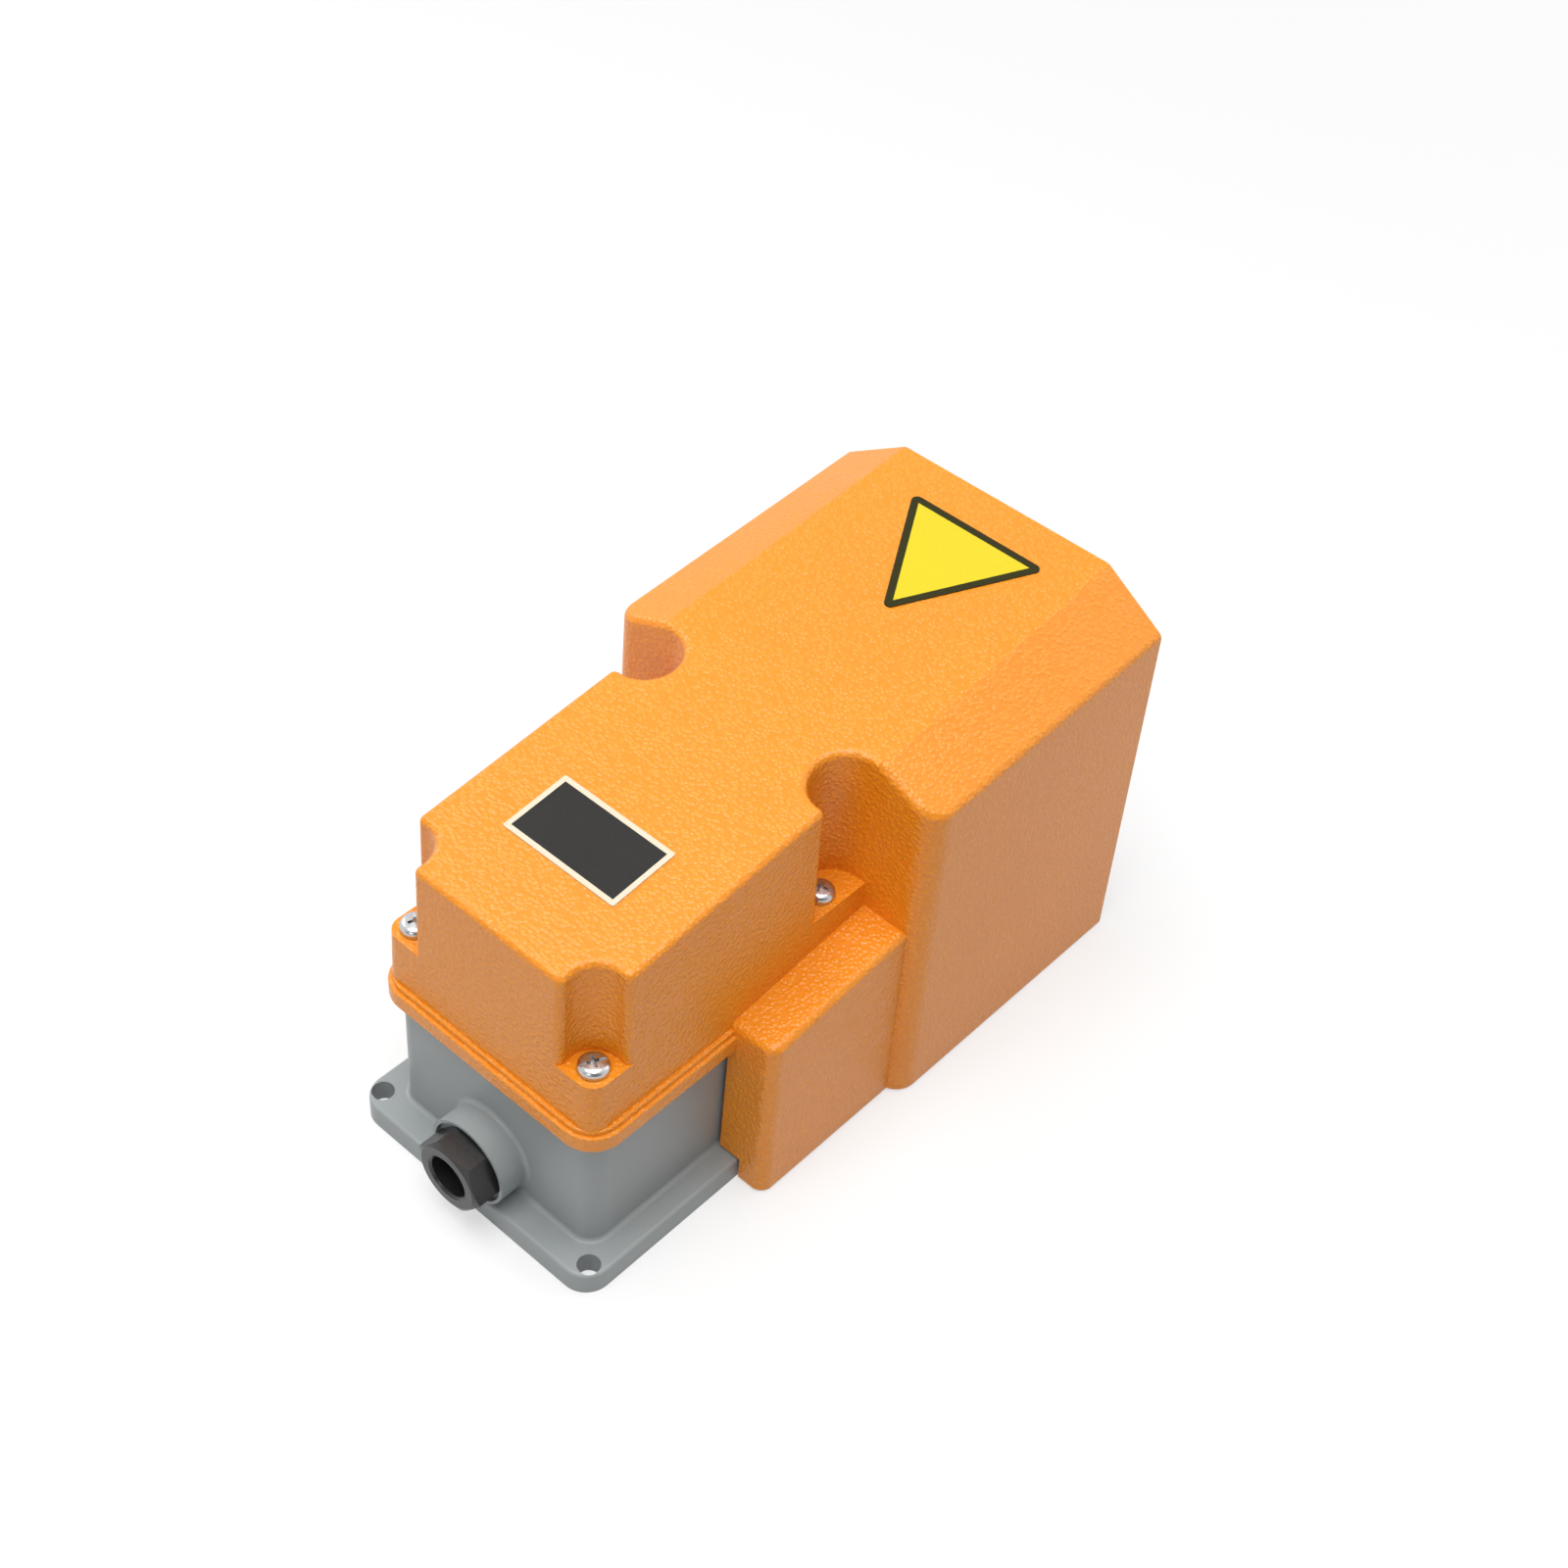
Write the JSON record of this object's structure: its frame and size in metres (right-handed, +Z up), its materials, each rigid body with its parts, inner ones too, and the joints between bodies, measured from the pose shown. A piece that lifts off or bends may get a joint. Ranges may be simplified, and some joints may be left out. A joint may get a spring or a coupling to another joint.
{
  "type": "industrial foot switch",
  "caption": "Guarded industrial foot switch: hinged pedal under a cast hood, limit switch in a sealed box behind it, cable inlet at the rear.",
  "frame": {"origin": "on the floor under the middle of the outer box", "axes": "+Z up, +Y to the rear where the cable leaves, -Y to the opening for the foot, X across the width"},
  "size_m": [0.137, 0.248, 0.1487],
  "materials": {
    "guard_paint": "orange powder coat with a fine wrinkle grain",
    "base_paint": "satin grey paint on cast metal",
    "pedal_metal": "cast aluminium, satin",
    "steel": "zinc-plated steel",
    "bronze": "sintered bronze",
    "brass": "bare brass",
    "rubber": "black rubber",
    "black_plastic": "black moulded plastic",
    "switch_plastic": "dark phenolic moulding",
    "button_plastic": "red moulded plastic",
    "plate": "blank black plate with a pale border",
    "triangle": "blank yellow triangle with a dark rim"
  },
  "bodies": {
    "housing": {"base_casting": "base_paint", "guard_cover": "guard_paint", "lid_gasket": "rubber", "lid_screws": "steel", "shaft_bushes": "bronze", "shaft_seals": "rubber", "thrust_washers": "steel", "stop_cap": "rubber", "return_spring": "steel", "pedal_buffers": "rubber", "switch_body": "switch_plastic", "switch_cover": "switch_plastic", "switch_bracket": "steel", "bracket_screws": "steel", "switch_screws": "steel", "switch_nuts": "steel", "switch_terminals": "brass", "terminal_screws": "steel", "earth_clamp": "brass", "earth_screw": "brass", "gland_nut": "black_plastic", "gland_washer": "steel", "gland_seal": "rubber", "name_plate": "plate", "triangle_label": "triangle"},
    "pedal": {"pedal_casting": "pedal_metal", "pedal_pad": "rubber", "pad_screws": "steel", "pedal_shaft": "steel", "arm_set_screws": "steel", "cam_lever": "steel", "lever_set_screw": "steel", "adjusting_screw": "steel", "lock_nut": "steel"},
    "plunger": {"switch_button": "button_plastic"}
  },
  "joints": [
    {"name": "pedal_hinge", "type": "hinge", "parent": "housing", "child": "pedal", "pos_m": [0, 0.03, 0.034], "axis": [1, 0, 0], "range_deg": [0, 8], "stiffness_Nm_per_rad": 14, "springref_deg": -16.04, "deforming": ["return_spring"]},
    {"name": "button_slide", "type": "slide", "parent": "housing", "child": "plunger", "axis": [0, 0, 1], "range_m": [0, 0.0041]}
  ],
  "couplings": [
    {"joint": "button_slide", "follows": "pedal_hinge", "m_per_rad": 0.028}
  ]
}
